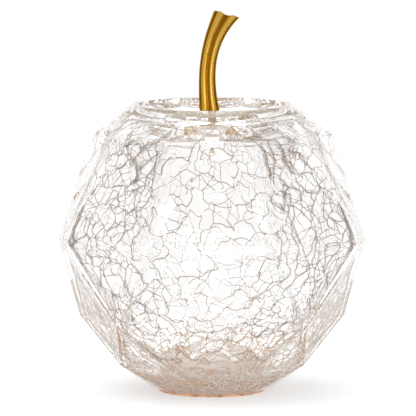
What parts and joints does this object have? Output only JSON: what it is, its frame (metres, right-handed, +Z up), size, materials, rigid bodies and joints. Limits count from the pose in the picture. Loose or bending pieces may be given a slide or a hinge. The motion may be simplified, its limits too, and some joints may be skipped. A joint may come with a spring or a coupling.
{
  "type": "glass apple ornament",
  "caption": "Hollow faceted crackle-glass apple ornament with a dished top, a curved fluted gold-coloured metal stem pinned into the dish, and a thin cork pad under its heavy base.",
  "frame": {"origin": "middle of the underside of the base pad, on the surface that the apple stands on", "axes": "+Z up along the axis of the glass, +X the way that the stem curves, -Y the front"},
  "size_m": [0.1518, 0.1518, 0.1913],
  "materials": {
    "clear_glass": "polished facets outside, crackled inside",
    "gold_metal": "satin cast",
    "clear_silicone": "translucent",
    "pin_brass": "turned",
    "clear_adhesive": "cured clear resin",
    "cork": "fine-grained cork"
  },
  "bodies": {
    "root": {"glass_body": "clear_glass", "stem": "gold_metal", "stem_washer": "clear_silicone", "stem_pin": "pin_brass", "pin_adhesive": "clear_adhesive", "base_pad": "cork"}
  },
  "joints": []
}
